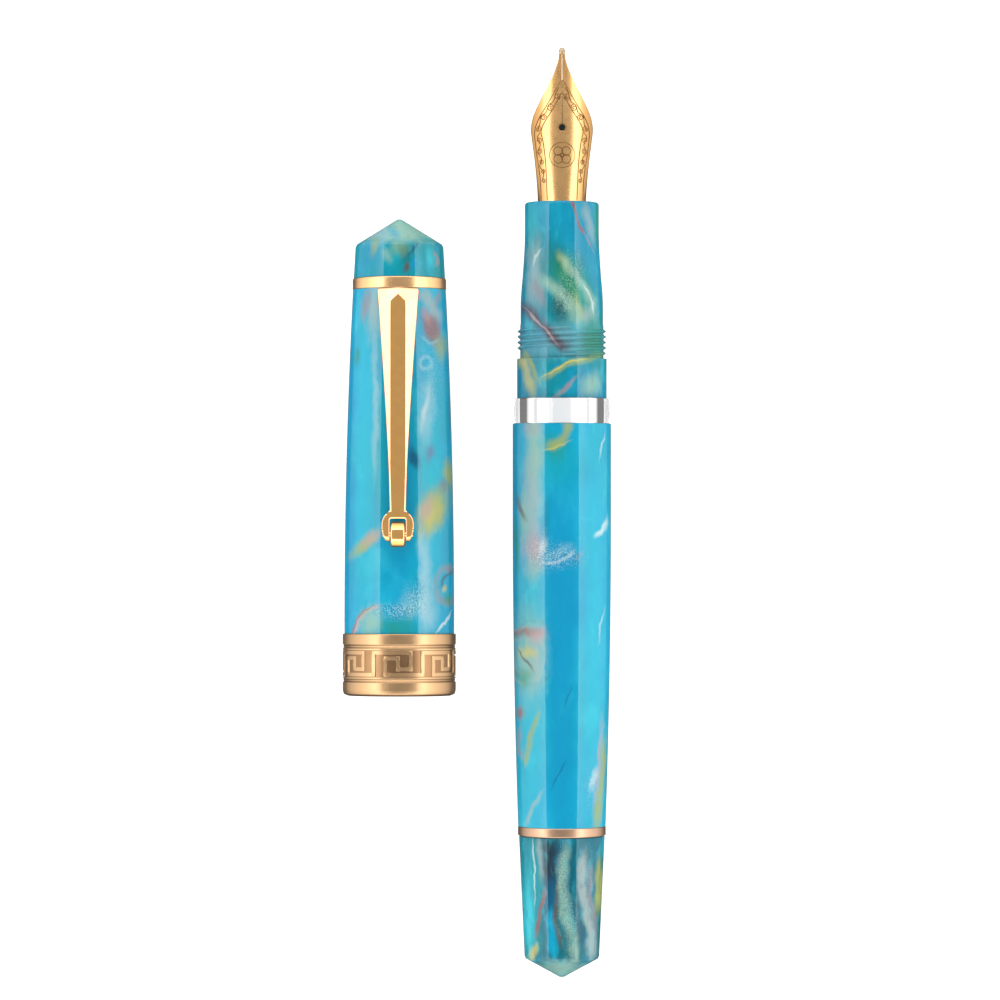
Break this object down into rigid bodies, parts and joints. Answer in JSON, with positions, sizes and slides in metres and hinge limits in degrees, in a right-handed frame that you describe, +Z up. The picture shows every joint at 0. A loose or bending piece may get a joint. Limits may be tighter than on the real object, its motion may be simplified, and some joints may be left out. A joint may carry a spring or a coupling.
{
  "type": "fountain pen",
  "caption": "Piston-filling fountain pen in swirled turquoise acrylic with gold trim and a gold nib, its screw cap with a roller clip lying beside it",
  "frame": {"origin": "centre of the bounding box in X and Y, on the table top in Z", "axes": "+X along the pen from its tail to its nib, +Z up from the table, +Y across the table from the pen to the cap"},
  "size_m": [0.1333, 0.0384, 0.0192],
  "materials": {
    "swirled_acrylic": "polished turned acrylic with pearl, olive, red-brown and navy swirls in turquoise",
    "clear_acrylic": "clear polished acrylic",
    "gold_plate": "gold-plated and polished, the meander band satin",
    "gold_nib": "polished gold nib sheet with an engraved border",
    "tip_metal": "polished hard tipping metal",
    "black_plastic": "moulded black plastic",
    "brass": "turned brass",
    "spring_steel": "stamped spring steel",
    "rubber": "moulded rubber"
  },
  "bodies": {
    "pen": {"barrel": "swirled_acrylic", "barrel_ring": "gold_plate", "ink_chamber": "clear_acrylic", "grip_section": "swirled_acrylic", "piston_sleeve": "brass", "sleeve_o_ring": "rubber", "nib": "gold_nib", "nib_tipping": "tip_metal", "feed": "black_plastic", "nib_housing": "black_plastic", "nib_unit_o_ring": "rubber", "section_o_ring": "rubber"},
    "knob": {"piston_knob": "swirled_acrylic", "drive_spindle": "brass", "spindle_clip": "spring_steel"},
    "piston": {"plunger_tube": "black_plastic", "piston_head": "black_plastic", "piston_rear_seal": "rubber", "piston_front_seal": "rubber"},
    "cap": {"cap_tube": "swirled_acrylic", "cap_liner": "black_plastic", "cap_band": "gold_plate", "clip_ring": "gold_plate", "finial": "swirled_acrylic", "finial_stud": "brass", "clip_washer": "gold_plate"},
    "clip": {"clip_arm": "gold_plate", "roller_axle": "gold_plate"},
    "roller": {"clip_roller": "gold_plate"}
  },
  "joints": [
    {"name": "cap_pull", "type": "slide", "parent": "pen", "child": "cap", "axis": [1, 0, 0], "range_m": [0, 0.095]},
    {"name": "clip_flex", "type": "hinge", "parent": "cap", "child": "clip", "pos_m": [0.03165, 0.01112, 0.0149], "axis": [0, 1, 0], "range_deg": [0, 3.5], "stiffness_Nm_per_rad": 4.6, "springref_deg": -1},
    {"name": "roller_spin", "type": "hinge", "parent": "clip", "child": "roller", "pos_m": [-0.00306, 0.01112, 0.01744], "axis": [0, 1, 0], "continuous": true},
    {"name": "knob_turn", "type": "hinge", "parent": "pen", "child": "knob", "pos_m": [-0.06, -0.01218, 0.00705], "axis": [-1, 0, 0], "range_deg": [0, 1440]},
    {"name": "piston_travel", "type": "slide", "parent": "pen", "child": "piston", "axis": [1, 0, 0], "range_m": [0, 0.02602]}
  ],
  "couplings": [
    {"joint": "piston_travel", "follows": "knob_turn", "m_per_rad": 0.0010345}
  ]
}
